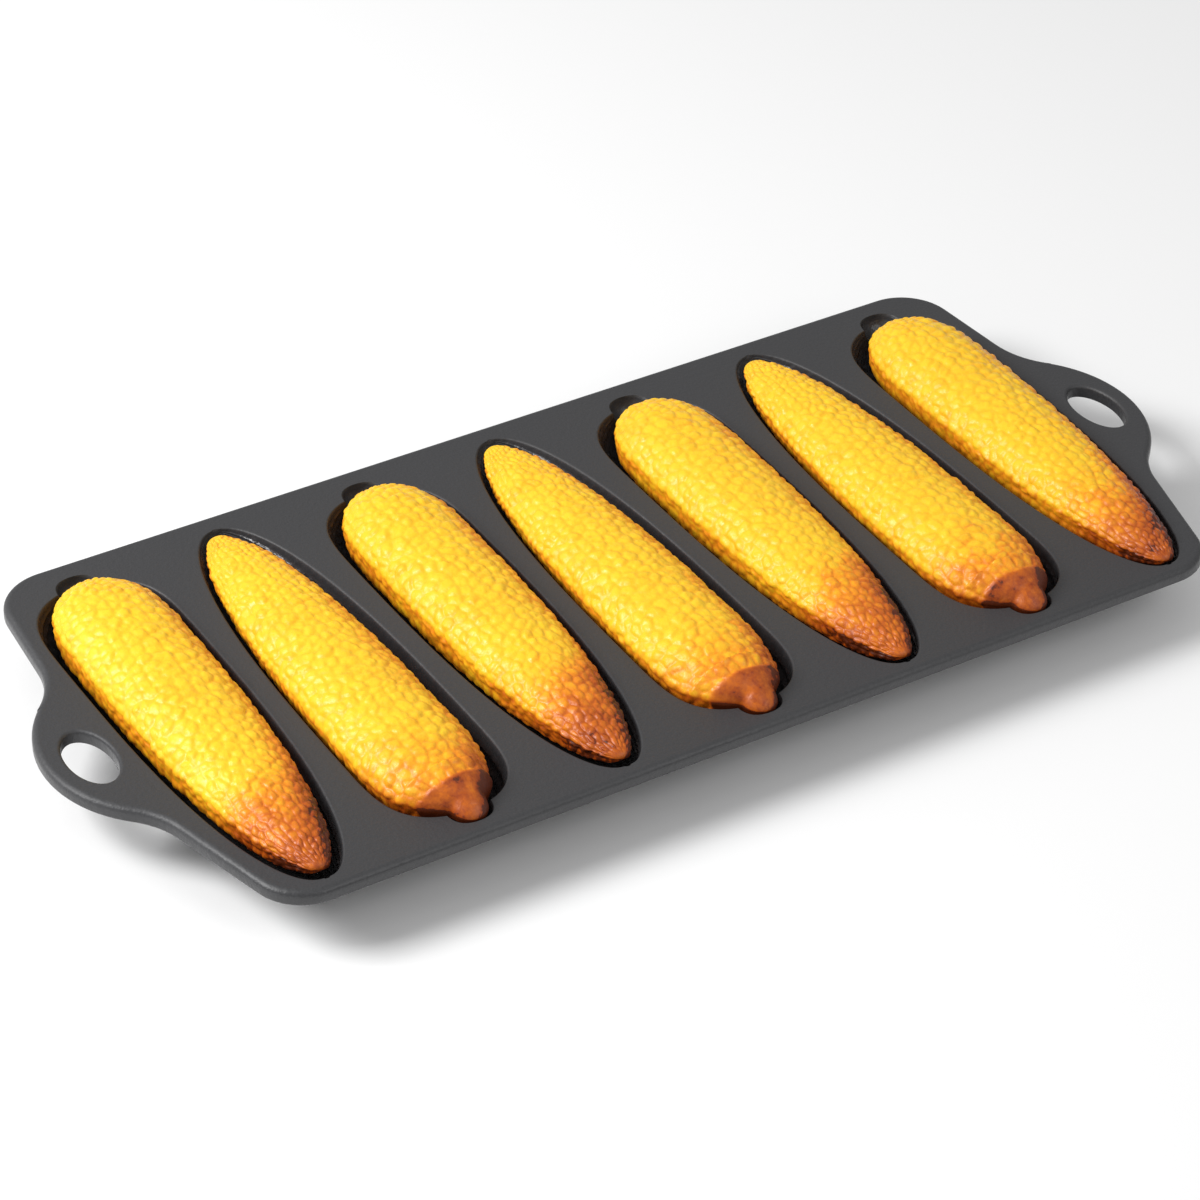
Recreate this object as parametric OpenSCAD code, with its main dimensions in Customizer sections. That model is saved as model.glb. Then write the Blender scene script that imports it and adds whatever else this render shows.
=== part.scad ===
// Corn stick pan: one iron casting with seven ear-shaped cups, and the seven baked sticks lying in it.
// Frame: +X runs along the row of cups, +Y is the far long edge, +Z is up.
// The origin lies under the middle of the pan, on the surface that the cups stand on.
// Sizes are in millimetres.

/* [Row of cavities] */
// Distance from one cavity axis to the next
cavity_pitch = 43.4; // [42:0.1:48]
// Shift of the row and of the hanging slots towards the near edge
row_shift = 1.3; // [0:0.1:2]

/* [Ear cavity] */
// Width of a cavity at the plate, at its widest place
cavity_w = 37.6; // [34:0.1:40]
// Depth of a cavity below the top of the plate
cavity_depth = 16.8; // [14:0.1:19]
// Length from the widest place to the pointed tip
nose_len = 101.2; // [90:0.1:110]
// Length from the widest place to the butt end
butt_len = 36; // [28:0.5:42]
// Length of the stalk pocket beyond the butt end
stalk_len = 4.8; // [3:0.1:7]
// Width of the stalk pocket
stalk_w = 12; // [9:0.5:15]
// Depth of the stalk pocket
stalk_depth = 7.5; // [5:0.5:10]
// Rows of kernels across one ear
kernel_rows = 10; // [6:1:12]
// Height of the ridges between the kernel rows
row_relief = 0.5; // [0.2:0.05:0.8]
// Rounding of the rim round each cavity
rim_r = 0.7; // [0.4:0.1:1.2]

/* [Plate] */
// Thickness of the plate
plate_t = 4; // [3:0.1:5]
// Rounding of the upper edge of the plate
edge_r = 1.8; // [0.8:0.1:2]
// Rounding of the lower edge of the plate
under_edge_r = 0.6; // [0.3:0.1:1]
// Width of the flat beyond the cavities along the two long edges
side_land = 5.5; // [4:0.1:9]
// Width of the flat beyond the outermost cavity on a short side
end_land = 6.2; // [4:0.1:9]
// Slant of the short side from the far corner to the handle
far_flank = 5.1; // [0:0.1:8]
// Slant of the short side from the near corner to the handle
near_flank = 14.6; // [10:0.1:16]
// Rounding of the far corners
far_corner_r = 15.4; // [10:0.1:20]
// Rounding of the near corners
near_corner_r = 14.5; // [10:0.1:20]

/* [Handles] */
// How far a handle stands out beyond the short side
handle_reach = 16; // [14:0.5:22]
// Slant of the handle's shoulders from the row direction
shoulder_slant = 42; // [36:1:50]
// Radius of the handle's end, one arc between its two shoulders
handle_end_r = 35; // [26:0.5:38]
// Rounding of the hollow where the handle leaves the short side
neck_r = 24; // [14:0.5:28]
// Width of the oval hanging slot
slot_w = 12.4; // [9:0.1:14]
// Length of the oval hanging slot
slot_len = 22.4; // [17:0.1:26]
// Iron between the hanging slot and the end of the handle
slot_land = 5.6; // [4:0.1:8]
// Rounding of the upper rim of the hanging slot
slot_rim_r = 1; // [0.5:0.1:1.4]

/* [Cups] */
// Wall of the cups under the plate
cup_wall = 3.2; // [2.5:0.1:4.5]
// Height ground off the bottom of the cups, so that the pan stands flat
foot_flat = 0.5; // [0.3:0.1:1]

/* [Corn sticks] */
// Gap between a stick's shoulder and the wall of its cavity where it rests
seat_gap = 0.45; // [0.35:0.05:0.7]
// Share of the cavity's depth at which a stick rests
seat_share = 0.42; // [0.35:0.01:0.5]
// Height of a stick's crown above the plate
crown_h = 9.8; // [8:0.1:14]
// How much narrower a stick is than its cavity at the plate
stick_shrink = 4.4; // [4:0.1:6]
// How far a stick can lie to one side of its cavity
side_play = 1.8; // [0.4:0.1:2]
// Space between the ends of a stick and the ends of its cavity, both ends together
end_play = 4.4; // [4:0.1:8]
// Length over which the butt end of every second stick runs down into its shank
shank_run = 10; // [6:0.5:14]
// Height of the shank's end above the plate
shank_h = 3; // [2:0.1:6]
// Gap between a shank and the walls of the stalk pocket
shank_gap = 0.6; // [0.4:0.05:0.8]

/* [Hidden] */
NODES = ["pan", "corn_stick_1", "corn_stick_2", "corn_stick_3", "corn_stick_4", "corn_stick_5",
    "corn_stick_6", "corn_stick_7"];
iron = [0.2, 0.2, 0.21];
corn = [0.95, 0.72, 0.12];

$fn = 48;
// A cutter passes the surface that it cuts by this much, and the cutter of a cavity by this much
over = 1;
rise = 0.3;
// Segments on a corner, a neck and a handle end of the plate's outline, and on the rounded edge
corner_steps = 6;
neck_steps = 4;
handle_steps = 10;
edge_steps = 3;
// Rings along the nose and along the butt of an ear, and along a stalk
nose_rings = 8;
butt_rings = 5;
stalk_rings = 3;
// Segments round the section of a cup and of a stalk pocket
cup_steps = 9;
stalk_steps = 6;
// Segments round a hanging slot
slot_steps = 32;
// The end ring of a form keeps this share of its full size, so that no face shrinks to a point
end_share = 0.08;

// Shape of an ear in plan: powers of the pointed nose and of the blunt butt
nose_power = 2.7;
nose_root = 2.1;
butt_power = 4.5;
butt_root = 2;
// The same for a baked stick, which is slimmer at its tip and rounder at its butt than its cavity
stick_nose_power = 2.4;
stick_butt_power = 3.4;
// Shape of a stalk: power of the pocket in plan, of the shank in plan, and of the pocket in depth
pocket_power = 6;
shank_power = 6;
stalk_depth_power = 2;
// Height from which a butt end runs down into its shank, as a share of the crown's height
shank_top_share = 0.95;
// The higher this power, the tighter the hollow between a shank and its ear
blend_power = 6;
// Place of the middle of a quarter round, as a share of its radius
arc_middle = 1 - cos(45);
// A cavity's section starts this many degrees below the plate, under its rounded rim
section_from = 9;
// Where the short side keeps its land off the outermost cavity, as a share of the nose's length
land_at_share = 0.75;
// A cup is longer than its cavity at each end by this share of its wall
end_wall_share = 0.6;

// How each stick lies in its cavity, from the left: sideways to the right as a share of the side play, and
// towards the near edge as a share of the play at one end
lies = [[0.2, -0.5], [-1, 0.7], [0.3, -0.35], [-0.95, 0.75], [0.3, 0.1], [-0.85, 0.75], [0.3, 0.4]];

// One cavity for each stick
cavity_count = len(NODES) - 1;
half_count = (cavity_count - 1) / 2;
half_w = cavity_w / 2;
cavity_len = nose_len + butt_len + stalk_len;
// Places along a cavity count from the middle of its length towards its tip
tip_at = cavity_len / 2;
widest_at = tip_at - nose_len;
butt_at = widest_at - butt_len;
stalk_at = butt_at - stalk_len;
pocket_from = butt_at + butt_len / 4;

plate_half_w = cavity_len / 2 + side_land;
pan_h = cavity_depth + cup_wall;
// The ends of a cup reach this far down, which is still inside the plate
cup_least = 0.75 * plate_t;
outer_cavity_x = half_count * cavity_pitch;
side_x = outer_cavity_x + half_w + end_land;
handle_x = side_x + handle_reach;
slot_x = handle_x - slot_land - slot_w / 2;

// Share of the full width that an ear has at the place v, from its butt end to its tip
function ear_share(v, tip, butt, widest, nose = nose_power, back = butt_power) = v > widest
    ? pow(max(0, 1 - pow((v - widest) / (tip - widest), nose)), 1 / nose_root)
    : pow(max(0, 1 - pow((widest - v) / (widest - butt), back)), 1 / butt_root);

// Places of the rings of an ear, closer together towards both ends
function ear_places(tip, butt, widest) = concat(
    [for (i = [0 : butt_rings - 1]) widest - (widest - butt) * cos(90 * i / butt_rings)],
    [for (i = [0 : nose_rings]) widest + (tip - widest) * sin(90 * i / nose_rings)]);

// A closed form through rings that all have the same number of points
module loft(rings) {
    m = len(rings[0]);
    last = len(rings) - 1;
    polyhedron(
        points = [for (ring = rings) each ring],
        faces = concat(
            [[for (i = [0 : m - 1]) i]],
            [[for (i = [m - 1 : -1 : 0]) last * m + i]],
            [for (k = [0 : last - 1], i = [0 : m - 1])
                let (j = (i + 1) % m) [k * m + i, (k + 1) * m + i, (k + 1) * m + j]],
            [for (k = [0 : last - 1], i = [0 : m - 1])
                let (j = (i + 1) % m) [k * m + i, (k + 1) * m + j, k * m + j]]),
        convexity = 6);
}

function heading(a) = [cos(a), sin(a)];
function left_of(a) = [-sin(a), cos(a)];

// Where the line through p with heading a meets the line through q with heading b
function meet(p, a, q, b) = p + heading(a) * ((q - p) * left_of(b)) / (heading(a) * left_of(b));

// Arc that rounds the corner v between the headings a and b, drawn in by inset
function bend(v, a, b, r, steps, inset) =
    let (side = sign(b - a), centre = v - heading(a) * r * tan(abs(b - a) / 2) + left_of(a) * r * side)
    [for (i = [0 : steps])
        let (t = a + (b - a) * i / steps) centre - left_of(t) * side * (r - side * inset)];

// Right half of the plate's outline, from the near edge round the handle to the far edge
function right_outline(inset) =
    let (
        up_near = 90 - near_flank,
        up_far = 90 + far_flank,
        out = shoulder_slant,
        back = 180 - shoulder_slant,
        land_at = widest_at + nose_len * land_at_share,
        near_w = half_w * ear_share(land_at, tip_at, butt_at, widest_at),
        near_on = [outer_cavity_x + near_w + end_land, -row_shift - land_at],
        far_on = [side_x, -row_shift - widest_at],
        // Where the lines of the two shoulders cross, beyond the handle's end
        apex = [handle_x + handle_end_r * (1 / sin(shoulder_slant) - 1), 0])
    concat(
        bend(meet([0, -plate_half_w], 0, near_on, up_near), 0, up_near, near_corner_r, corner_steps, inset),
        bend(meet(near_on, up_near, apex, out), up_near, out, neck_r, neck_steps, inset),
        bend(apex, out, back, handle_end_r, handle_steps, inset),
        bend(meet(far_on, up_far, apex, back), back, up_far, neck_r, neck_steps, inset),
        bend(meet([0, plate_half_w], 180, far_on, up_far), up_far, 180, far_corner_r, corner_steps, inset));

function plate_ring(inset, z) =
    let (right = right_outline(inset), n = len(right))
    concat([for (p = right) [p.x, p.y, z]], [for (i = [n - 1 : -1 : 0]) [-right[i].x, right[i].y, z]]);

// The flat plate with its two handles: a form whose rounded edges run on past its faces, cut to its thickness
module plate() {
    under = pan_h - plate_t;
    // The last chord of the upper edge, from turn to 90 degrees, goes on to twice its length
    turn = 90 * (edge_steps - 1) / edge_steps;
    intersection() {
        loft(concat(
            [plate_ring(2 * under_edge_r, under - under_edge_r)],
            [plate_ring(0, under + under_edge_r)],
            [for (i = [0 : edge_steps - 1])
                let (a = 90 * i / edge_steps) plate_ring(edge_r * (1 - cos(a)), pan_h - edge_r * (1 - sin(a)))],
            [plate_ring(edge_r * (1 + cos(turn)), pan_h + edge_r * (1 - sin(turn)))]));
        translate([-handle_x - over, -plate_half_w - over, under])
            cube([2 * (handle_x + over), 2 * (plate_half_w + over), plate_t]);
    }
}

// Height of the ridges between the kernel rows, which fade where an ear is narrower than half its width
function ridge(share) = row_relief * min(1, 2 * share);

// How far out the upper chord of a rounded rim is at the height of rise, above the plate's face
function rim_out(rim) = rim + rise * (1 - arc_middle) / arc_middle;

// Section of a cavity at half width w and depth d: a fluted trough with a rounded rim, open at the top.
// The ridges between the kernel rows stand into it by relief.
function trough_ring(v, w, d, rim, relief) =
    let (mid = rim * arc_middle, turn = 180 - 2 * section_from, out = w + rim_out(rim))
    concat(
        [[out, v, rise], [w + mid, v, -mid]],
        [for (i = [0 : 2 * kernel_rows])
            let (a = section_from + turn * i / (2 * kernel_rows), in = i % 2 == 0 ? relief : 0)
            [(w - in) * cos(a), v, -(d - in) * sin(a)]],
        [[-w - mid, v, -mid], [-out, v, rise]]);

// The ear that is cut out of a cup
// A copy of its ring at each end is lifted out of the plate, so that the rim slopes there too
module ear_cut() {
    lift = cavity_depth * end_share + rise;
    rings = [for (v = ear_places(tip_at, butt_at, widest_at))
        let (share = max(end_share, ear_share(v, tip_at, butt_at, widest_at)))
        trough_ring(v, half_w * share, cavity_depth * share, rim_r, ridge(share))];
    loft(concat(
        [[for (p = rings[0]) p + [0, -rim_r, lift]]],
        rings,
        [[for (p = rings[len(rings) - 1]) p + [0, rim_r, lift]]]));
}

// Share of its full size that a stalk has at the place v, square in plan and rounded in depth
function stalk_share(v, start, end, power) = pow(max(0, 1 - pow((start - v) / (start - end), power)), 0.5);

// A plain half-round trough along a stalk, without kernel rows
module stalk_trough(start, end, w, d, rim) {
    turn = 180 - 2 * section_from;
    loft([for (i = [0 : stalk_rings])
        let (
            v = start + (end - start) * sin(90 * i / stalk_rings),
            wide = w * max(end_share, stalk_share(v, start, end, pocket_power)),
            deep = d * max(end_share, stalk_share(v, start, end, stalk_depth_power)),
            out = wide + rim + rise)
        concat(
            [[-out, v, rise]],
            [for (j = [stalk_steps : -1 : 0])
                let (a = section_from + turn * j / stalk_steps)
                [wide * cos(a), v, -rim - deep * sin(a)]],
            [[out, v, rise]])]);
}

// Outside of a cup: the ear grown by the wall, without rows, as far up as the middle of the plate
module cup_body() {
    grow = cup_wall * end_wall_share;
    w = half_w + cup_wall;
    d = pan_h + foot_flat;
    top = -plate_t / 2;
    loft([for (v = ear_places(tip_at + grow, butt_at - grow, widest_at))
        let (share = max(end_share, ear_share(v, tip_at + grow, butt_at - grow, widest_at)))
        cup_ring(v, w * share, max(d * share, cup_least), top)]);
    stalk_cup(butt_at + butt_len / 2, stalk_at - grow, stalk_w / 2 + cup_wall, stalk_depth + cup_wall, top);
}

function cup_ring(v, w, d, top) = concat(
    [[w, v, top]],
    [for (i = [1 : cup_steps - 1])
        let (a = 180 * i / cup_steps)
        [w * cos(a), v, top - (d + top) * sin(a)]],
    [[-w, v, top]]);

module stalk_cup(start, end, w, d, top) {
    loft([for (i = [0 : stalk_rings])
        let (
            v = start + (end - start) * sin(90 * i / stalk_rings),
            deep = d * stalk_share(v, start, end, stalk_depth_power),
            wide = w * max(end_share, stalk_share(v, start, end, pocket_power)))
        [for (p = cup_ring(v, wide, max(deep, cup_least), top)) [-p.x, p.y, p.z]]]);
}

// Puts its children at cavity number k, counted from the left; every second cavity is turned round
module at_cavity(k) {
    translate([(k - 1 - half_count) * cavity_pitch, -row_shift, pan_h])
        rotate(k % 2 == 1 ? 180 : 0)
            children();
}

function slot_ring(grow, z) = [for (i = [0 : slot_steps - 1])
    let (a = 360 * i / slot_steps)
    [(slot_w / 2 + grow) * cos(a), (slot_len / 2 + grow) * sin(a), z]];

// Oval hole across the row, its upper rim rounded
module hanging_slot() {
    mid = slot_rim_r * arc_middle;
    translate([0, -row_shift, pan_h])
        loft([
            slot_ring(0, -plate_t - over),
            slot_ring(0, -slot_rim_r),
            slot_ring(mid, -mid),
            slot_ring(rim_out(slot_rim_r), rise)]);
}

module pan() {
    color(iron)
        difference() {
            union() {
                plate();
                for (k = [1 : cavity_count])
                    at_cavity(k)
                        cup_body();
            }
            for (k = [1 : cavity_count])
                at_cavity(k) {
                    ear_cut();
                    stalk_trough(pocket_from, stalk_at, stalk_w / 2, stalk_depth, rim_r / 2);
                }
            for (s = [-1, 1])
                translate([s * slot_x, 0, 0])
                    hanging_slot();
            // The cups are ground flat where the pan stands
            translate([0, 0, -foot_flat - over])
                cube([2 * handle_x, 2 * plate_half_w, 2 * (foot_flat + over)], center = true);
        }
}

// Section of a stick: flat below, with rows of kernels over its crown
function stick_ring(v, w, base_w, base_z, crown, relief) = concat(
    [[-base_w, v, base_z], [base_w, v, base_z]],
    [for (i = [0 : 2 * kernel_rows])
        let (a = 180 * i / (2 * kernel_rows), in = i % 2 == 0 ? relief : 0)
        [(w - in) * cos(a), v, (crown - in) * sin(a)]]);

// Blends two sizes with a hollow between them, where one piece grows out of the other
function blend(a, b) = pow(pow(a, blend_power) + pow(b, blend_power), 1 / blend_power);

// A baked stick, kernels up. Its base rests where the cavity has narrowed to the base's width.
// Every second stick keeps its shank: its butt end runs down into the stalk pocket, in line with the pocket.
module corn_stick(k) {
    has_shank = k % 2 == 0;
    side = lies[k - 1].x * side_play;
    near = lies[k - 1].y * end_play / 2;
    tip = tip_at - end_play / 2;
    butt = butt_at + end_play / 2;
    w = half_w - stick_shrink / 2;
    base_w = min(w, half_w * sqrt(1 - pow(seat_share, 2)) - row_relief - seat_gap - abs(side));
    base_d = seat_share * cavity_depth;
    shank_from = butt + shank_run;
    shank_to = stalk_at + near + shank_gap;
    shank_w = stalk_w / 2 - shank_gap;
    shank_top = crown_h * shank_top_share;
    shank_rings = has_shank
        ? [for (i = [stalk_rings : -1 : 1]) butt - (butt - shank_to) * sin(90 * i / stalk_rings)]
        : [];
    color(corn)
        translate([side, -near, 0])
            at_cavity(k)
                loft([for (v = concat(shank_rings, ear_places(tip, butt, widest_at)))
                    let (
                        ear = v < butt ? 0
                            : ear_share(v, tip, butt, widest_at, stick_nose_power, stick_butt_power),
                        gone = has_shank ? max(0, (shank_from - v) / (shank_from - shank_to)) : 0,
                        shank = gone > 0 ? pow(max(0, 1 - pow(gone, shank_power)), 0.5) : 0,
                        shank_high = shank_top + (shank_h - shank_top) * gone,
                        wide = max(end_share * w, blend(w * ear, shank_w * shank)),
                        high = max(end_share * crown_h, blend(crown_h * ear, shank_high * shank)),
                        share = wide / w,
                        aside = -side * min(1, gone * (shank_from - shank_to) / shank_run))
                    [for (p = stick_ring(v, wide, base_w * share, -base_d * share, high, ridge(share) * ear))
                        p + [aside, 0, 0]]]);
}

pan();
corn_stick(1);  // corn_stick_1
corn_stick(2);  // corn_stick_2
corn_stick(3);  // corn_stick_3
corn_stick(4);  // corn_stick_4
corn_stick(5);  // corn_stick_5
corn_stick(6);  // corn_stick_6
corn_stick(7);  // corn_stick_7
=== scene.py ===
"""Looks of the corn stick pan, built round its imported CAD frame. Lengths are in millimetres until a mesh is made."""

import math

import bpy
import numpy as np
from mathutils import Matrix, Vector

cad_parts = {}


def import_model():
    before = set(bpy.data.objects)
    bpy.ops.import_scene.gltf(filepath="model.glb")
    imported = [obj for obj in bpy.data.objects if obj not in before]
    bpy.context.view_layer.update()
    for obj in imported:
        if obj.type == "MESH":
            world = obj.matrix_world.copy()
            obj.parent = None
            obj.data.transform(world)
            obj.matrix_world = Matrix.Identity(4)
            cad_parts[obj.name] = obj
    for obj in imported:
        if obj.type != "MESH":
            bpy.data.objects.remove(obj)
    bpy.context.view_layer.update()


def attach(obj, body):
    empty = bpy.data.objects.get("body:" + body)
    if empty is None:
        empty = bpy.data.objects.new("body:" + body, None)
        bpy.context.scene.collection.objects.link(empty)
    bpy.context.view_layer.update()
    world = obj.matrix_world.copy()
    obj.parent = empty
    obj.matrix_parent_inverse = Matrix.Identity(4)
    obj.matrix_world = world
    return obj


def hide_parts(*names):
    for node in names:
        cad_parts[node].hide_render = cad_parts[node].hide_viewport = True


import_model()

MM = 0.001

# Sizes that the looks share with the CAD
STICKS = 7
PITCH = 43.4
ROW_SHIFT = 1.3
PAN_H = 20.0
CAVITY_W = 37.6
CAVITY_DEPTH = 16.8
NOSE_LEN = 101.2
BUTT_LEN = 36.0
STALK_LEN = 4.8
STALK_W = 12.0
NOSE_POWER = 2.7
NOSE_ROOT = 2.1
BUTT_POWER = 4.5
BUTT_ROOT = 2.0
STICK_NOSE_POWER = 2.4
STICK_BUTT_POWER = 3.4
SHANK_POWER = 6.0
SHANK_TOP_SHARE = 0.95
BLEND_POWER = 6.0
SEAT_GAP = 0.45
SEAT_SHARE = 0.42
ROW_RELIEF = 0.5
CROWN_H = 9.8
STICK_SHRINK = 4.4
SIDE_PLAY = 1.8
END_PLAY = 4.4
SHANK_RUN = 10.0
SHANK_H = 3.0
SHANK_GAP = 0.6
STALK_DEPTH = 7.5
POCKET_POWER = 6.0
RIM_R = 0.7
PLATE_T = 4.0
EDGE_R = 1.8
UNDER_EDGE_R = 0.6
SIDE_LAND = 5.5
END_LAND = 6.2
NEAR_FLANK, FAR_FLANK = math.radians(14.6), math.radians(5.1)
NEAR_CORNER_R, FAR_CORNER_R = 14.5, 15.4
HANDLE_REACH = 16.0
SHOULDER_SLANT = math.radians(42)
HANDLE_END_R = 35.0
NECK_R = 24.0
SLOT_W, SLOT_LEN, SLOT_LAND, SLOT_RIM_R = 12.4, 22.4, 5.6, 1.0
CUP_WALL = 3.2
FOOT_FLAT = 0.5
END_WALL_SHARE = 0.6
LAND_AT_SHARE = 0.75
END_SHARE = 0.04

TIP_AT = (NOSE_LEN + BUTT_LEN + STALK_LEN) / 2
WIDEST_AT = TIP_AT - NOSE_LEN
BUTT_AT = WIDEST_AT - BUTT_LEN
STALK_AT = BUTT_AT - STALK_LEN

# How each stick lies: sideways to the right and towards the near edge, as shares of its play
LIES = [(0.2, -0.5), (-1, 0.7), (0.3, -0.35), (-0.95, 0.75), (0.3, 0.1), (-0.85, 0.75), (0.3, 0.4)]

# Rings along a stick, and columns over its crown, on a flank and on its base
STICK_RINGS = 330
CROWN_COLUMNS = 110
FLANK_COLUMNS = 14
BASE_COLUMNS = 10
KERNEL_ROWS = 11
KERNEL_PITCH = 3.7
KERNEL_RELIEF = 0.7
# Rings and columns of a cavity, its rows of kernels and how far the iron stands up between them
CUT_RINGS = 178
CUT_COLUMNS = 58
CAVITY_ROWS = 14
CAVITY_RELIEF = 0.6


# Numbers on surfaces

def smooth(low, high, x):
    """Smooth step: 0 below low, 1 above high, and 3t^2 - 2t^3 between them."""
    t = np.clip((x - low) / (high - low), 0, 1)
    return t * t * (3 - 2 * t)


def lattice_noise(points, size, seed):
    """Value noise from -1 to 1: random values on a cubic lattice of the given size, blended with smooth steps."""
    values = np.random.default_rng(seed).uniform(-1, 1, (64, 64, 64))
    p = points / size
    cell = np.floor(p).astype(int)
    f = p - cell
    f = f * f * (3 - 2 * f)
    out = np.zeros(len(points))
    for corner in range(8):
        step = np.array([corner & 1, corner >> 1 & 1, corner >> 2 & 1])
        i = (cell + step) % 64
        weight = np.where(step, f, 1 - f).prod(1)
        out += weight * values[i[:, 0], i[:, 1], i[:, 2]]
    return out


def cells(a, b, seed, jitter):
    """Cellular pattern over (a, b) with one moved seed in each unit cell; every second row is half a cell on.

    Returns the distances to the nearest and to the second nearest seed, and the nearest seed's random number.
    """
    shape = np.broadcast(a, b).shape
    a, b = (np.broadcast_to(x, shape).ravel() for x in (a, b))
    table = np.random.default_rng(seed).uniform(0, 1, (3, 64, 64))
    row = np.floor(b).astype(int)
    first = np.full(len(a), 9.0)
    second = np.full(len(a), 9.0)
    number = np.zeros(len(a))
    for row_step in (-1, 0, 1):
        r = row + row_step
        shift = 0.5 * (r % 2)
        column = np.floor(a - shift).astype(int)
        for step in (-1, 0, 1):
            c = column + step
            da, db, value = table[:, r % 64, c % 64]
            seed_a = c + shift + 0.5 + jitter * (da - 0.5)
            seed_b = r + 0.5 + jitter * (db - 0.5)
            distance = np.hypot(a - seed_a, b - seed_b)
            nearer = distance < first
            second = np.where(nearer, first, np.minimum(second, distance))
            number = np.where(nearer, value, number)
            first = np.where(nearer, distance, first)
    return first.reshape(shape), second.reshape(shape), number.reshape(shape)


def ear_share(v, tip, butt, nose_power=NOSE_POWER, butt_power=BUTT_POWER):
    """Share of an ear's full width at v: a pointed superellipse towards the tip, a blunt one towards the butt."""
    nose = np.clip((v - WIDEST_AT) / (tip - WIDEST_AT), 0, 1)
    back = np.clip((WIDEST_AT - v) / (WIDEST_AT - butt), 0, 1)
    pointed = (1 - nose**nose_power) ** (1 / NOSE_ROOT)
    blunt = (1 - back**butt_power) ** (1 / BUTT_ROOT)
    return np.where(v > WIDEST_AT, pointed, blunt)


def even_places(start, end, half_width, count):
    """Places from start to end at equal lengths along the outline that half_width draws, both ends left out."""
    v = start + (end - start) * (1 - np.cos(np.linspace(0, math.pi, 6000))) / 2
    run = np.append(0, np.cumsum(np.hypot(np.diff(v), np.diff(half_width(v)))))
    return np.interp(np.linspace(0, run[-1], count + 2)[1:-1], run, v)


def even_angles(a, b, count):
    """Angles from 0 to 180 degrees at equal lengths along the half ellipse with the half axes a and b."""
    t = np.linspace(0, math.pi, 4000)
    run = np.append(0, np.cumsum(np.hypot(np.diff(a * np.cos(t)), np.diff(b * np.sin(t)))))
    return np.interp(np.linspace(0, run[-1], count), run, t)


def at_cavity(points, k):
    """Moves points from a cavity's own frame to cavity k; the odd ones are turned by half a turn."""
    sign = -1 if k % 2 else 1
    place = np.array([(k - 1 - (STICKS - 1) / 2) * PITCH, -ROW_SHIFT, PAN_H])
    return points * np.array([sign, sign, 1]) + place


# Meshes

def skin(rings, first=None, last=None):
    """Points and faces of a closed skin over rings of shape (ring, column, 3).

    An end is closed by a fan to its pole, or by one flat face where there is no pole. The faces are turned round
    if the volume that they hold comes out negative.
    """
    n, m = rings.shape[:2]
    points = rings.reshape(-1, 3)
    i, j = np.meshgrid(np.arange(n - 1), np.arange(m), indexing="ij")
    j2 = (j + 1) % m
    quads = np.stack([i * m + j, i * m + j2, (i + 1) * m + j2, (i + 1) * m + j], -1).reshape(-1, 4)
    a, b, c, d = points[quads].transpose(1, 0, 2)
    middle = points.mean(0)
    volume = np.einsum("ij,ij->i", a - middle, np.cross(b - middle, c - middle)).sum()
    volume += np.einsum("ij,ij->i", a - middle, np.cross(c - middle, d - middle)).sum()
    faces = quads.tolist()
    ring = np.arange(m)
    around = (ring + 1) % m
    for pole, start, forward in ((first, 0, False), (last, (n - 1) * m, True)):
        if pole is None:
            faces.append((start + (ring if forward else ring[::-1])).tolist())
        else:
            at = len(points)
            points = np.concatenate([points, [pole]])
            pair = (start + ring, start + around) if forward else (start + around, start + ring)
            faces += np.stack([np.full(m, at), *pair], -1).tolist()
    if volume < 0:
        faces = [face[::-1] for face in faces]
    return points, faces


def new_object(name, skins):
    """One object from several closed skins."""
    points, faces, at = [], [], 0
    for part, part_faces in skins:
        points.append(part)
        faces += [[at + i for i in face] for face in part_faces]
        at += len(part)
    mesh = bpy.data.meshes.new(name)
    mesh.from_pydata(np.concatenate(points) * MM, [], faces)
    mesh.polygons.foreach_set("use_smooth", np.ones(len(mesh.polygons), bool))
    mesh.update()
    obj = bpy.data.objects.new(name, mesh)
    bpy.context.scene.collection.objects.link(obj)
    return obj


def add_attribute(obj, name, values):
    layer = obj.data.attributes.new(name, "FLOAT", "POINT")
    layer.data.foreach_set("value", np.asarray(values, np.float32))


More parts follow.
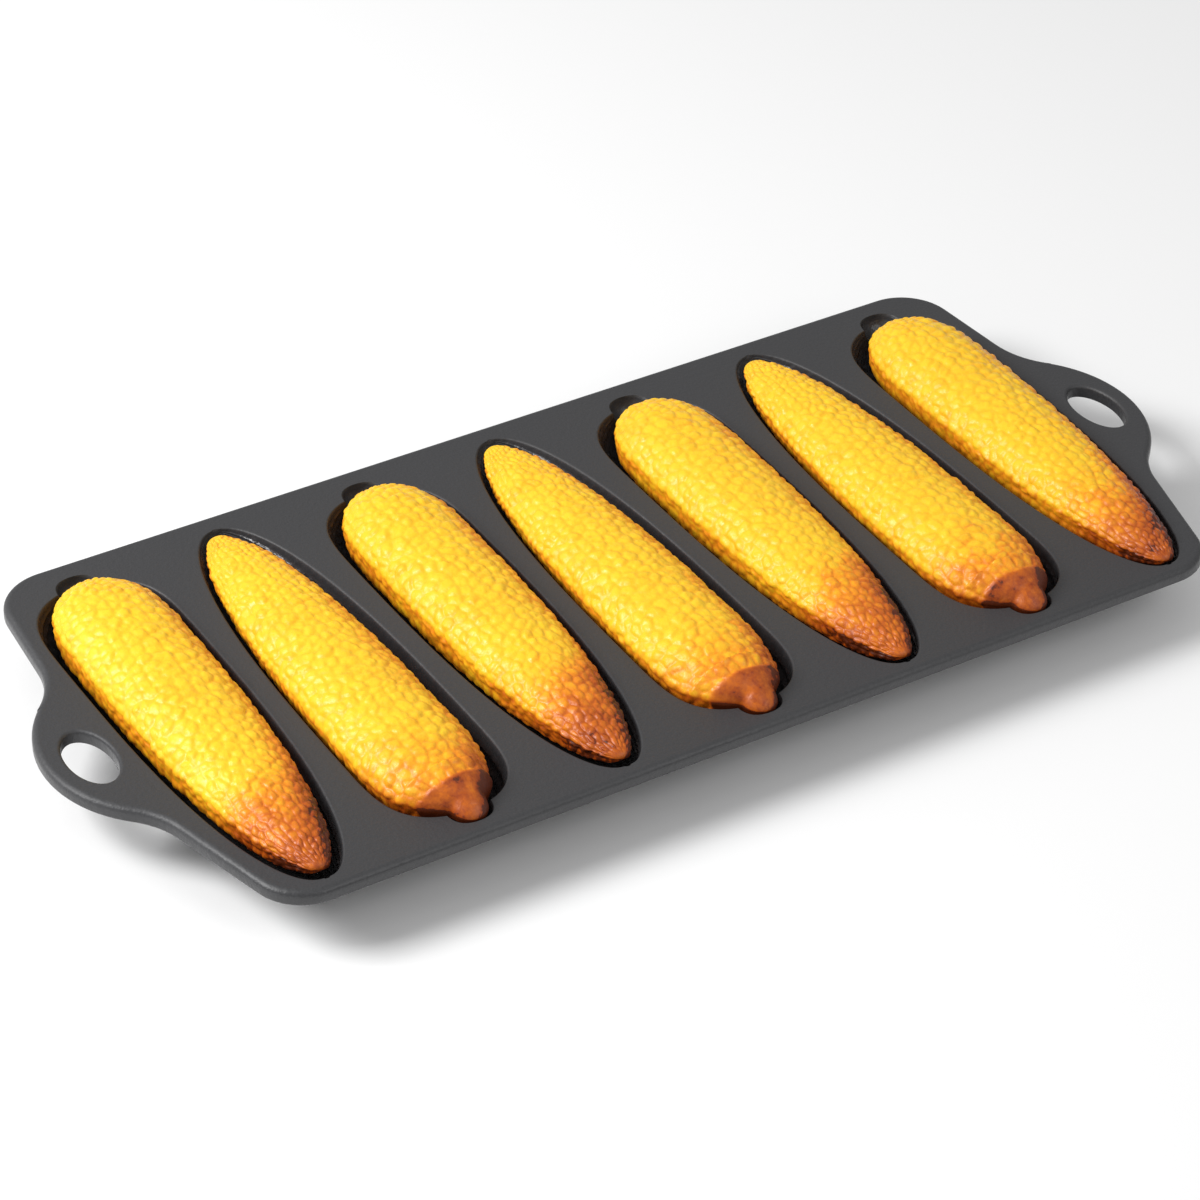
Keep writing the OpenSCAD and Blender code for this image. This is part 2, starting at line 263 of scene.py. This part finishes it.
def baked_stick(k):
    """A baked stick, kernels up.

    Rings stand along the ear's outline at equal lengths. Each is a half ellipse over the plate, two leaning flanks
    and a flat base. The kernels are rounded cells of a pattern that runs in loose rows, with crumbs over them.
    """
    has_shank = k % 2 == 0
    side, near_by = LIES[k - 1][0] * SIDE_PLAY, LIES[k - 1][1] * END_PLAY / 2
    tip = TIP_AT - END_PLAY / 2
    butt = BUTT_AT + END_PLAY / 2
    full_w = (CAVITY_W - STICK_SHRINK) / 2
    base_w = CAVITY_W / 2 * math.sqrt(1 - SEAT_SHARE**2) - ROW_RELIEF - SEAT_GAP - abs(side)
    base_d = SEAT_SHARE * CAVITY_DEPTH
    shank_from = butt + SHANK_RUN
    shank_to = STALK_AT + near_by + SHANK_GAP
    shank_w = STALK_W / 2 - SHANK_GAP
    shank_top = CROWN_H * SHANK_TOP_SHARE

    def gone(v):
        return np.clip((shank_from - v) / (shank_from - shank_to), 0, 1)

    def size(v, ear, shank):
        share = np.where(v < butt, 0, ear_share(v, tip, butt, STICK_NOSE_POWER, STICK_BUTT_POWER))
        on_shank = np.where(has_shank & (v < shank_from), np.sqrt(1 - gone(v) ** SHANK_POWER), 0)
        return ((ear * share) ** BLEND_POWER + (shank * on_shank) ** BLEND_POWER) ** (1 / BLEND_POWER)

    start = shank_to if has_shank else butt
    v = even_places(start, tip, lambda x: size(x, full_w, shank_w), STICK_RINGS)
    wide = size(v, full_w, shank_w)[:, None]
    high = size(v, CROWN_H, shank_top + (SHANK_H - shank_top) * gone(v))[:, None]
    share = wide / full_w
    kernelled = np.where(v < butt, 0, ear_share(v, tip, butt, STICK_NOSE_POWER, STICK_BUTT_POWER))

    # One section: the crown, the far flank, the base and the near flank; drop is the share of the base's depth
    over = even_angles(full_w, CROWN_H, CROWN_COLUMNS)
    lean = np.linspace(0, 1, FLANK_COLUMNS + 1)[1:]
    soft = np.clip((lean - 0.75) / 0.25, 0, 1)
    flank = full_w + (base_w - full_w) * lean - 1.2 * (1 - np.sqrt(1 - soft**2))
    base = np.linspace(-1, 1, BASE_COLUMNS + 2)[1:-1] * flank[-1]
    section_x = np.concatenate([np.cos(over) * full_w, -flank, base, flank[::-1]])
    drop = np.concatenate([np.zeros(CROWN_COLUMNS), lean, np.ones(BASE_COLUMNS), lean[::-1]])
    rise = np.concatenate([np.sin(over), np.zeros(len(drop) - CROWN_COLUMNS)])
    x = section_x[None] * share
    z = rise[None] * high - drop[None] * base_d * share
    y = np.repeat(v[:, None], x.shape[1], 1)

    # Kernels: cells over the length and the girth, which sway
    girth = np.append(0, np.cumsum(np.hypot(np.diff(section_x), np.diff(rise * CROWN_H - drop * base_d))))
    rows = girth / girth[CROWN_COLUMNS - 1] * KERNEL_ROWS
    pitch = KERNEL_PITCH * (0.6 + 0.4 * kernelled)
    run = np.cumsum(np.append(0, np.hypot(np.diff(v), np.diff(wide[:, 0]))) / pitch)
    grid = np.stack(np.broadcast_arrays(run[:, None], rows[None], 17.0 * k), -1).reshape(-1, 3)
    sway = lattice_noise(grid, 2.6, 7).reshape(x.shape)
    wave = lattice_noise(grid, 2.1, 8).reshape(x.shape)
    nearest, second, number = cells(run[:, None] + 0.45 * sway, rows[None] + 0.28 * wave + 3 * k, 60 + k, 0.62)
    valley = 1 - smooth(0.0, 0.55, second - nearest)
    dome = np.sqrt(np.clip(1 - (nearest / 0.85) ** 2, 0, 1))
    end = butt + 5.5 + 0.6 * wave
    bare = smooth(end + 0.9, end - 0.9, y) if has_shank else np.zeros(x.shape)
    on_ear = smooth(0.1, 0.35, kernelled)[:, None] * (1 - bare)
    at = np.stack([x, y, z], -1).reshape(-1, 3) + 50.0 * k
    lump = lattice_noise(at, 2.4, 11).reshape(x.shape)
    crumb = lattice_noise(at, 1.15, 12).reshape(x.shape)
    grit = lattice_noise(at, 0.6, 13).reshape(x.shape)
    tall = 0.55 + 0.45 * number
    push = KERNEL_RELIEF * (dome * (1 - 0.55 * valley) * tall - 1) * on_ear
    push += (0.22 * (lump - 1) + 0.13 * (crumb - 1) + 0.06 * (grit - 1)) * (0.3 + 0.7 * on_ear)
    push = push * np.clip(wide / 5, 0, 1)

    # The relief moves a point square to its section, and inwards from the base's edges
    on_flank = np.sign(section_x) * (np.abs(section_x) > flank[-1] - 0.01)
    nx = np.append(np.cos(over), on_flank[CROWN_COLUMNS:])[None] * high
    nz = rise[None] * wide
    length = np.hypot(nx, nz) + 1e-9
    x = x + push * nx / length
    z = z + push * nz / length
    aside = -side * np.minimum(1, gone(v) * (shank_from - shank_to) / SHANK_RUN) if has_shank else 0 * v
    rings = at_cavity(np.stack([x + aside[:, None], y, z], -1), k) + np.array([side, -near_by, 0])
    end_aside = -side if has_shank else 0.0
    poles = at_cavity(np.array([[end_aside, start, 0], [0, tip, 0]]), k) + np.array([side, -near_by, 0])
    obj = new_object(f"baked_stick_{k}", [skin(rings, poles[0], poles[1])])

    # Colour: browning towards the near end; the right flank darker, partly browning and partly painted shade; painted
    # shade along the crown's lower edge
    near = (v if k % 2 else -v)[:, None]
    right = section_x[None] / full_w * (-1 if k % 2 else 1)
    patch = lattice_noise(at, 12, 21).reshape(x.shape)
    fleck = lattice_noise(at, 3.4, 22).reshape(x.shape)
    if has_shank:
        end_brown = 0.42 * smooth(30, 60, near + 3 * patch) + 0.1 * smooth(-48, -64, near)
    else:
        end_brown = 0.78 * smooth(16, 64, near + 5 * right + 5 * patch) + 0.05 * smooth(-50, -60, near)
    # Right flank darker, here and in the odd sticks' near-end term: partly browning, partly painted shade of the side
    # away from the key lamp
    brown_and_shade = end_brown + 0.27 * smooth(0.35, 0.85, right + 0.08 * patch)
    # Painted shade: darker along the crown's lower edge, where the stick meets the cavity
    brown_and_shade = brown_and_shade + 0.35 * smooth(0.25, 0.0, rise[None] + 0.05 * fleck)
    brown_and_shade = brown_and_shade + 0.07 * patch + 0.08 * fleck + 0.10 * (number - 0.5)
    # Painted shade in the crevices between kernels and in lengthwise furrows down the right flank
    furrow_shade = smooth(0.5, 0.9, right) * smooth(0.5, 0.9, np.cos(2 * math.pi * rows[None] / 1.9 + 0.5 * wave))
    crevice_shade = np.clip(valley * 0.8 + 0.5 * furrow_shade, 0, 1) * on_ear
    ends = np.array([1.0, 0.8]) if has_shank else np.array([0.2, 0.9])
    add_attribute(obj, "brown_and_shade", np.append(np.clip(brown_and_shade, 0, 1).ravel(), ends))
    add_attribute(obj, "bare", np.append(bare.ravel(), [float(has_shank), 0.0]))
    add_attribute(obj, "crevice_shade", np.append(crevice_shade.ravel(), [0.3, 0.3]))
    return obj


# The pan

def heading(a):
    return np.array([math.cos(a), math.sin(a)])


def left_of(a):
    return np.array([-math.sin(a), math.cos(a)])


def meet(p, a, q, b):
    """Where the line through p with heading a meets the line through q with heading b."""
    return p + heading(a) * ((q - p) @ left_of(b)) / (heading(a) @ left_of(b))


def bend(corner, a, b, r, steps):
    """Arc of radius r that rounds a corner between the headings a and b: its points and their outward normals."""
    side = math.copysign(1, b - a)
    centre = corner - heading(a) * r * math.tan(abs(b - a) / 2) + left_of(a) * r * side
    t = np.linspace(a, b, steps + 1)
    out = np.stack([np.sin(t), -np.cos(t)], 1)
    return centre + out * r * side, out


def plate_outline():
    """The plate's outline and its outward normals: two short sides with their handles, joined by the long edges."""
    outer_x = (STICKS - 1) / 2 * PITCH
    half = (TIP_AT * 2) / 2 + SIDE_LAND
    side_x = outer_x + CAVITY_W / 2 + END_LAND
    handle_x = side_x + HANDLE_REACH
    land_at = WIDEST_AT + NOSE_LEN * LAND_AT_SHARE
    near_w = CAVITY_W / 2 * float(ear_share(np.array(land_at), TIP_AT, BUTT_AT))
    near_on = np.array([outer_x + near_w + END_LAND, -ROW_SHIFT - land_at])
    far_on = np.array([side_x, -ROW_SHIFT - WIDEST_AT])
    apex = np.array([handle_x + HANDLE_END_R * (1 / math.sin(SHOULDER_SLANT) - 1), 0])
    up_near, up_far = math.pi / 2 - NEAR_FLANK, math.pi / 2 + FAR_FLANK
    out, back = SHOULDER_SLANT, math.pi - SHOULDER_SLANT
    near_edge, far_edge = np.array([0, -half]), np.array([0, half])
    arcs = [
        bend(meet(near_edge, 0, near_on, up_near), 0, up_near, NEAR_CORNER_R, 14),
        bend(meet(near_on, up_near, apex, out), up_near, out, NECK_R, 9),
        bend(apex, out, back, HANDLE_END_R, 24),
        bend(meet(far_on, up_far, apex, back), back, up_far, NECK_R, 9),
        bend(meet(far_edge, math.pi, far_on, up_far), up_far, math.pi, FAR_CORNER_R, 14),
    ]
    points = np.concatenate([arc[0] for arc in arcs])
    normals = np.concatenate([arc[1] for arc in arcs])
    flip = np.array([-1, 1])
    return np.concatenate([points, points[::-1] * flip]), np.concatenate([normals, normals[::-1] * flip])


def plate_skin():
    """The plate: its outline drawn in by r(1 - cos t) at the height r(1 - sin t) below the top, likewise below."""
    points, normals = plate_outline()
    t = np.linspace(0, math.pi / 2, 9)
    low = np.stack([UNDER_EDGE_R * (1 - np.sin(t)), PAN_H - PLATE_T + UNDER_EDGE_R * (1 - np.cos(t))], 1)[::2]
    top = np.stack([EDGE_R * (1 - np.cos(t)), PAN_H - EDGE_R * (1 - np.sin(t))], 1)
    steps = np.concatenate([low, top])
    rings = points[None] - normals[None] * steps[:, :1, None]
    z = np.broadcast_to(steps[:, 1, None, None], (*rings.shape[:2], 1))
    return skin(np.concatenate([rings, z], 2))


def section_rings(v, w, d, z, columns):
    """Half-ellipse sections, w wide to each side and d deep below the height z, closed by a flat top."""
    a = np.linspace(0, math.pi, columns)
    x = w[:, None] * np.cos(a)
    deep = -d[:, None] * np.sin(a)
    return np.stack([x, np.repeat(v[:, None], columns, 1), z + deep], -1)


def cup_skins(k):
    """Outside of cup k and of its stalk: the ear grown by the wall, hanging from the middle of the plate."""
    grow = CUP_WALL * END_WALL_SHARE
    tip, butt = TIP_AT + grow, BUTT_AT - grow
    top = -PLATE_T / 2
    v = even_places(butt, tip, lambda x: CAVITY_W / 2 * ear_share(x, tip, butt), 90)
    share = np.maximum(END_SHARE, ear_share(v, tip, butt))
    reach = np.maximum((PAN_H + FOOT_FLAT) * share, PLATE_T * 0.75) + top
    ear = section_rings(v, (CAVITY_W / 2 + CUP_WALL) * share, reach, top, 48)
    start, end = BUTT_AT + BUTT_LEN / 2, STALK_AT - grow
    v = start + (end - start) * np.sin(np.linspace(0, math.pi / 2, 14))
    t = (start - v) / (start - end)
    wide = (STALK_W / 2 + CUP_WALL) * np.maximum(END_SHARE, np.sqrt(1 - np.minimum(t, 1) ** POCKET_POWER))
    deep = (STALK_DEPTH + CUP_WALL) * np.sqrt(1 - np.minimum(t, 1) ** 2)
    stalk = section_rings(v, wide, np.maximum(deep, PLATE_T * 0.75) + top, top, 30)
    return [skin(at_cavity(rings, k)) for rings in (ear, stalk)]


def rim_arc(steps):
    """Rounded rim of a cavity: out from the wall and down from the plate, as shares of its radius, from above."""
    t = np.linspace(0, math.pi / 2, steps)
    arc = np.stack([1 - np.sin(t), np.cos(t) - 1], 1)
    first = arc[0] + (arc[0] - arc[1]) * 0.8
    return np.concatenate([[first], arc[1:]])


def ear_cutter(k):
    """The ear that is cut out of cup k.

    Half-ellipse sections stand along the ear's outline, with a rounded rim. Between the kernels, which are
    rounded hollows in rows half a kernel apart, the iron stands into the cavity by the relief.
    """
    inner = even_places(BUTT_AT, TIP_AT, lambda x: CAVITY_W / 2 * ear_share(x, TIP_AT, BUTT_AT), CUT_RINGS)
    share = np.maximum(END_SHARE, ear_share(inner, TIP_AT, BUTT_AT))
    w, d = (CAVITY_W / 2 * share)[:, None], (CAVITY_DEPTH * share)[:, None]
    rim = np.minimum(RIM_R, 0.5 * d)
    low = np.arcsin(rim / d)
    u = np.linspace(0, 1, CUT_COLUMNS)[None]
    a = low + (math.pi - 2 * low) * u
    row_at = u * CAVITY_ROWS
    row = np.minimum(row_at.astype(int), CAVITY_ROWS - 1)
    across = (row_at - row) * 2 - 1
    pitch = KERNEL_PITCH * (0.6 + 0.4 * share)
    outline = np.append(0, np.hypot(np.diff(inner), np.diff(w[:, 0])))
    place = np.cumsum(outline / pitch)[:, None] + 0.5 * (row % 2) + 0.1 * np.sin(row * 2.3 + k)
    along = (place - np.floor(place)) * 2 - 1
    dome = np.clip(1 - np.abs(across) ** 3 - np.abs(along) ** 3, 0, 1) ** 0.5
    inward = CAVITY_RELIEF * (1 - dome) * np.clip(share[:, None] * 2, 0, 1)
    inward = inward * smooth(0, 0.035, u) * smooth(0, 0.035, 1 - u)
    nx, nz = np.cos(a) / w, np.sin(a) / d
    length = np.hypot(nx, nz)
    x = w * np.cos(a) - inward * nx / length
    z = -d * np.sin(a) + inward * nz / length
    arc = rim_arc(5)
    side_x = x[:, :1] + arc[None, :-1, 0] * rim
    side_z = arc[None, :-1, 1] * rim
    x = np.concatenate([side_x, x, -side_x[:, ::-1]], 1)
    z = np.concatenate([side_z, z, side_z[:, ::-1]], 1)
    rings = np.stack([x, np.repeat(inner[:, None], x.shape[1], 1), z], -1)
    lift = d.min() + 0.5
    first = rings[:1] + np.array([0, -RIM_R, lift])
    last = rings[-1:] + np.array([0, RIM_R, lift])
    return skin(at_cavity(np.concatenate([first, rings, last]), k))


def stalk_cutter(k):
    """The stalk's pocket: a plain half-round trough, square in plan, with a sloping rim."""
    start, end = BUTT_AT + BUTT_LEN / 4, STALK_AT
    t = np.sin(np.linspace(0, math.pi / 2, 16))
    v = start + (end - start) * t
    rim = RIM_R / 2
    wide = STALK_W / 2 * np.maximum(END_SHARE, np.sqrt(1 - np.minimum(t, 0.9999) ** POCKET_POWER))[:, None]
    deep = STALK_DEPTH * np.maximum(END_SHARE, np.sqrt(1 - np.minimum(t, 0.9999) ** 2))[:, None]
    a = np.linspace(math.radians(4), math.pi - math.radians(4), 34)[None]
    top = np.full_like(wide, 0.4)
    x = np.concatenate([wide + rim + 0.4, wide * np.cos(a), -wide - rim - 0.4], 1)
    z = np.concatenate([top, -rim - deep * np.sin(a), top], 1)
    rings = np.stack([x, np.repeat(v[:, None], x.shape[1], 1), z], -1)
    return skin(at_cavity(rings, k))


def slot_cutter(side):
    """The hanging slot: ellipses that widen by the upper rim's rounding."""
    handle_x = (STICKS - 1) / 2 * PITCH + CAVITY_W / 2 + END_LAND + HANDLE_REACH
    x = side * (handle_x - SLOT_LAND - SLOT_W / 2)
    t = np.linspace(0, 2 * math.pi, 97)[:-1]
    q = np.linspace(0, math.pi / 2, 9)
    rim = np.stack([SLOT_RIM_R * (1 - np.cos(q)), PAN_H - SLOT_RIM_R * (1 - np.sin(q))], 1)
    low = [[0.3, PAN_H - PLATE_T - 1], [0.3, PAN_H - PLATE_T], [0, PAN_H - PLATE_T + 0.3]]
    steps = np.concatenate([low, rim, [[SLOT_RIM_R + 0.3, PAN_H + 0.1], [SLOT_RIM_R + 0.3, PAN_H + 1]]])
    wide, long = SLOT_W / 2 + steps[:, :1], SLOT_LEN / 2 + steps[:, :1]
    z = np.broadcast_to(steps[:, 1:], (len(steps), len(t)))
    return skin(np.stack([x + wide * np.cos(t), -ROW_SHIFT + long * np.sin(t), z], -1))


def ground_cutter():
    """The block under the floor's height, which grinds the cups flat."""
    x, y = 200.0, 100.0
    ring = np.array([[-x, -y], [x, -y], [x, y], [-x, y]])
    rings = np.stack([np.column_stack([ring, np.full(4, z)]) for z in (-20.0, 0.0)])
    return skin(rings)


def cast_pan():
    """The casting: plate and cups joined, then cavities, stalk pockets, slots and the ground face cut away."""
    obj = new_object("cast_pan", [plate_skin()])
    ears = range(1, STICKS + 1)
    cups = {k: cup_skins(k) for k in ears}
    steps = [
        ("UNION", [cups[k][0] for k in ears if k % 2]),
        ("UNION", [cups[k][0] for k in ears if k % 2 == 0]),
        ("UNION", [cups[k][1] for k in ears]),
        ("DIFFERENCE", [ear_cutter(k) for k in ears]),
        ("DIFFERENCE", [stalk_cutter(k) for k in ears]),
        ("DIFFERENCE", [slot_cutter(-1), slot_cutter(1)]),
        ("DIFFERENCE", [ground_cutter()]),
    ]
    tools = []
    for number, (operation, skins) in enumerate(steps):
        tool = new_object(f"tool_{number}", skins)
        modifier = obj.modifiers.new(f"step_{number}", "BOOLEAN")
        modifier.operation = operation
        modifier.solver = "MANIFOLD"
        modifier.object = tool
        tools.append(tool)
    depsgraph = bpy.context.evaluated_depsgraph_get()
    made = bpy.data.meshes.new_from_object(obj.evaluated_get(depsgraph))
    obj.modifiers.clear()
    old = obj.data
    obj.data = made
    made.name = "cast_pan"
    bpy.data.meshes.remove(old)
    for tool in tools:
        mesh = tool.data
        bpy.data.objects.remove(tool)
        bpy.data.meshes.remove(mesh)
    shade_by_angle(made, math.radians(38))
    return obj


def shade_by_angle(mesh, limit):
    """Level faces stay flat; elsewhere an edge is sharp where its two faces differ by more than the limit."""
    count = len(mesh.polygons)
    normals = np.zeros(count * 3, np.float32)
    mesh.polygons.foreach_get("normal", normals)
    normals = normals.reshape(-1, 3)
    mesh.polygons.foreach_set("use_smooth", np.abs(normals[:, 2]) < 0.9999)
    loop_edge = np.zeros(len(mesh.loops), np.int32)
    mesh.loops.foreach_get("edge_index", loop_edge)
    totals = np.zeros(count, np.int32)
    mesh.polygons.foreach_get("loop_total", totals)
    loop_face = np.repeat(np.arange(count), totals)
    order = np.argsort(loop_edge, kind="stable")
    edges, faces = loop_edge[order], loop_face[order]
    pair = np.nonzero(edges[:-1] == edges[1:])[0]
    cosine = np.einsum("ij,ij->i", normals[faces[pair]], normals[faces[pair + 1]])
    sharp = np.zeros(len(mesh.edges), bool)
    sharp[edges[pair]] = cosine < math.cos(limit)
    mesh.edges.foreach_set("use_edge_sharp", sharp)
    mesh.update()


# Materials

def new_material(name):
    mat = bpy.data.materials.new(name)
    mat.use_nodes = True
    nodes = mat.node_tree.nodes
    return mat, nodes, mat.node_tree.links, nodes["Principled BSDF"]


def noise(nodes, links, vector, scale, detail=3.0, roughness=0.5):
    tex = nodes.new("ShaderNodeTexNoise")
    tex.inputs["Scale"].default_value = scale
    tex.inputs["Detail"].default_value = detail
    tex.inputs["Roughness"].default_value = roughness
    links.new(vector, tex.inputs["Vector"])
    return tex.outputs["Fac"]


def remap(nodes, links, value, from_low, from_high, to_low=0.0, to_high=1.0):
    node = nodes.new("ShaderNodeMapRange")
    node.clamp = True
    for name, number in zip(("From Min", "From Max", "To Min", "To Max"), (from_low, from_high, to_low, to_high)):
        node.inputs[name].default_value = number
    links.new(value, node.inputs["Value"])
    return node.outputs["Result"]


def maths(nodes, links, kind, a, b):
    node = nodes.new("ShaderNodeMath")
    node.operation = kind
    for socket, value in zip(node.inputs, (a, b)):
        if isinstance(value, (int, float)):
            socket.default_value = value
        else:
            links.new(value, socket)
    return node.outputs[0]


def bump(nodes, links, height, distance, strength, normal=None):
    node = nodes.new("ShaderNodeBump")
    node.inputs["Strength"].default_value = strength
    node.inputs["Distance"].default_value = distance
    links.new(height, node.inputs["Height"])
    if normal:
        links.new(normal, node.inputs["Normal"])
    return node.outputs["Normal"]


def iron_material():
    """Seasoned cast iron: an orange-peel grain, a fine sand grain and patchy roughness, glossier below the plate's
    top.
    """
    mat, nodes, links, shader = new_material("seasoned_iron")
    at = nodes.new("ShaderNodeTexCoord").outputs["Object"]
    peel = noise(nodes, links, at, 700.0, 2.0)
    sand = noise(nodes, links, at, 1900.0, 2.0)
    patch = noise(nodes, links, at, 22.0, 3.0)
    ramp = nodes.new("ShaderNodeValToRGB")
    ramp.color_ramp.elements[0].color = (0.030, 0.030, 0.032, 1)
    ramp.color_ramp.elements[1].color = (0.052, 0.052, 0.055, 1)
    links.new(sand, ramp.inputs["Fac"])
    links.new(ramp.outputs["Color"], shader.inputs["Base Color"])
    place = nodes.new("ShaderNodeSeparateXYZ")
    links.new(at, place.inputs["Vector"])
    below = remap(nodes, links, place.outputs["Z"], 0.0185, 0.0199, 1.0, 0.0)
    rough = remap(nodes, links, patch, 0.3, 0.7, 0.50, 0.62)
    rough = maths(nodes, links, "SUBTRACT", rough, maths(nodes, links, "MULTIPLY", below, 0.26))
    links.new(rough, shader.inputs["Roughness"])
    shader.inputs["Specular IOR Level"].default_value = 0.5
    normal = bump(nodes, links, peel, 0.00035, 0.45)
    normal = bump(nodes, links, sand, 0.00012, 0.5, normal)
    links.new(normal, shader.inputs["Normal"])
    return mat


def cornbread_material():
    """Baked crust: yellow, orange and brown after an attribute that holds browning and painted shade, darker again in
    the crevices by painted shade, with crumbs.
    """
    mat, nodes, links, shader = new_material("baked_crust")
    at = nodes.new("ShaderNodeTexCoord").outputs["Object"]

    def attribute(name):
        node = nodes.new("ShaderNodeAttribute")
        node.attribute_name = name
        return node.outputs["Fac"]

    brown_and_shade, bare, crevice_shade = attribute("brown_and_shade"), attribute("bare"), attribute("crevice_shade")
    crumb = noise(nodes, links, at, 900.0, 3.0, 0.6)
    lump = noise(nodes, links, at, 320.0, 2.0)
    # Painted shade: the crevice attribute deepens the tone
    tone = maths(nodes, links, "ADD", brown_and_shade, maths(nodes, links, "MULTIPLY", crevice_shade, 0.16))
    tone = maths(nodes, links, "ADD", tone, remap(nodes, links, lump, 0.3, 0.7, -0.07, 0.07))
    tone = maths(nodes, links, "ADD", tone, remap(nodes, links, crumb, 0.35, 0.65, -0.05, 0.05))
    tone = maths(nodes, links, "ADD", tone, maths(nodes, links, "MULTIPLY", bare, 0.45))
    ramp = nodes.new("ShaderNodeValToRGB")
    stops = [
        (0.0, (0.98, 0.60, 0.018)),
        (0.25, (0.95, 0.47, 0.012)),
        (0.45, (0.86, 0.29, 0.008)),
        (0.70, (0.60, 0.135, 0.005)),
        (0.95, (0.33, 0.050, 0.002)),
        (1.0, (0.10, 0.016, 0.002)),
    ]
    elements = ramp.color_ramp.elements
    while len(elements) < len(stops):
        elements.new(0.5)
    for element, (place, colour) in zip(elements, stops):
        element.position = place
        element.color = (*colour, 1)
    links.new(tone, ramp.inputs["Fac"])
    links.new(ramp.outputs["Color"], shader.inputs["Base Color"])
    rough = remap(nodes, links, crumb, 0.3, 0.7, 0.32, 0.55)
    links.new(rough, shader.inputs["Roughness"])
    shader.inputs["Specular IOR Level"].default_value = 0.45
    normal = bump(nodes, links, lump, 0.0006, 0.35)
    normal = bump(nodes, links, crumb, 0.00025, 0.5, normal)
    links.new(normal, shader.inputs["Normal"])
    return mat


def floor_material():
    mat, nodes, links, shader = new_material("pale_floor")
    shader.inputs["Base Color"].default_value = (0.92, 0.92, 0.92, 1)
    shader.inputs["Roughness"].default_value = 0.9
    shader.inputs["Specular IOR Level"].default_value = 0.1
    return mat


# Stage

def floor():
    """A flat square just under the cups."""
    half = 4.0
    z = -0.0003
    mesh = bpy.data.meshes.new("floor")
    mesh.from_pydata([(-half, -half, z), (half, -half, z), (half, half, z), (-half, half, z)], [], [(0, 1, 2, 3)])
    obj = bpy.data.objects.new("floor", mesh)
    bpy.context.scene.collection.objects.link(obj)
    mesh.materials.append(floor_material())


def world():
    """An even pale sky; camera rays see it as white."""
    made = bpy.data.worlds.new("studio")
    bpy.context.scene.world = made
    made.use_nodes = True
    nodes, links = made.node_tree.nodes, made.node_tree.links
    sky = nodes["Background"]
    sky.inputs["Color"].default_value = (1, 1, 1, 1)
    path = nodes.new("ShaderNodeLightPath")
    lit = 0.42
    strength = nodes.new("ShaderNodeMapRange")
    strength.inputs["To Min"].default_value = lit
    strength.inputs["To Max"].default_value = 1.0
    links.new(path.outputs["Is Camera Ray"], strength.inputs["Value"])
    links.new(strength.outputs["Result"], sky.inputs["Strength"])


def softbox(name, direction, distance, width, watts):
    """A square lamp that looks at the middle of the pan."""
    lamp = bpy.data.lights.new(name, "AREA")
    lamp.size = width
    lamp.energy = watts
    obj = bpy.data.objects.new(name, lamp)
    bpy.context.scene.collection.objects.link(obj)
    toward = Vector(direction).normalized()
    obj.location = toward * distance
    obj.rotation_euler = toward.to_track_quat("Z", "Y").to_euler()


def camera():
    """The photograph's view: turn, height and roll about the aim point, which is then put at its own pixel."""
    azimuth, elevation, roll = map(math.radians, (-33.295, 36.288, 2.073))
    distance = 1.1259
    focal = 4178.1
    picture = 1200.0
    aim = Vector((0, 0.0005, 0.020))
    aim_pixel = (620.59, 566.88)
    back = Vector((
        math.sin(azimuth) * math.cos(elevation),
        -math.cos(azimuth) * math.cos(elevation),
        math.sin(elevation),
    ))
    ahead = -back
    right = ahead.cross(Vector((0, 0, 1))).normalized()
    up = right.cross(ahead)
    level = Matrix((
        math.cos(roll) * right + math.sin(roll) * up,
        -math.sin(roll) * right + math.cos(roll) * up,
        ahead,
    ))
    middle = picture / 2
    toward = Vector(((aim_pixel[0] - middle) / focal, (middle - aim_pixel[1]) / focal, 1))
    turn = Vector((0, 0, 1)).rotation_difference(toward).to_matrix()
    rows = turn @ level
    data = bpy.data.cameras.new("camera")
    data.sensor_width = 36.0
    data.lens = focal / picture * data.sensor_width
    data.clip_start, data.clip_end = 0.01, 50
    obj = bpy.data.objects.new("camera", data)
    bpy.context.scene.collection.objects.link(obj)
    obj.matrix_world = Matrix.Translation(aim + back * distance) @ Matrix(
        (rows[0], rows[1], -rows[2])
    ).transposed().to_4x4()
    bpy.context.scene.camera = obj


iron = iron_material()
crust = cornbread_material()

pan = cast_pan()
pan.data.materials.clear()
pan.data.materials.append(iron)
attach(pan, "casting")
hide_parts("pan")

for k in range(1, STICKS + 1):
    stick = baked_stick(k)
    stick.data.materials.append(crust)
    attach(stick, f"stick_{k}")
    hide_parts(f"corn_stick_{k}")

floor()
world()
softbox("key", (-0.75, 0.30, 0.70), 1.3, 0.55, 17.0)
softbox("fill", (0.35, -0.80, 0.75), 1.6, 0.9, 5.0)
camera()

scene = bpy.context.scene
scene.view_settings.view_transform = "Standard"
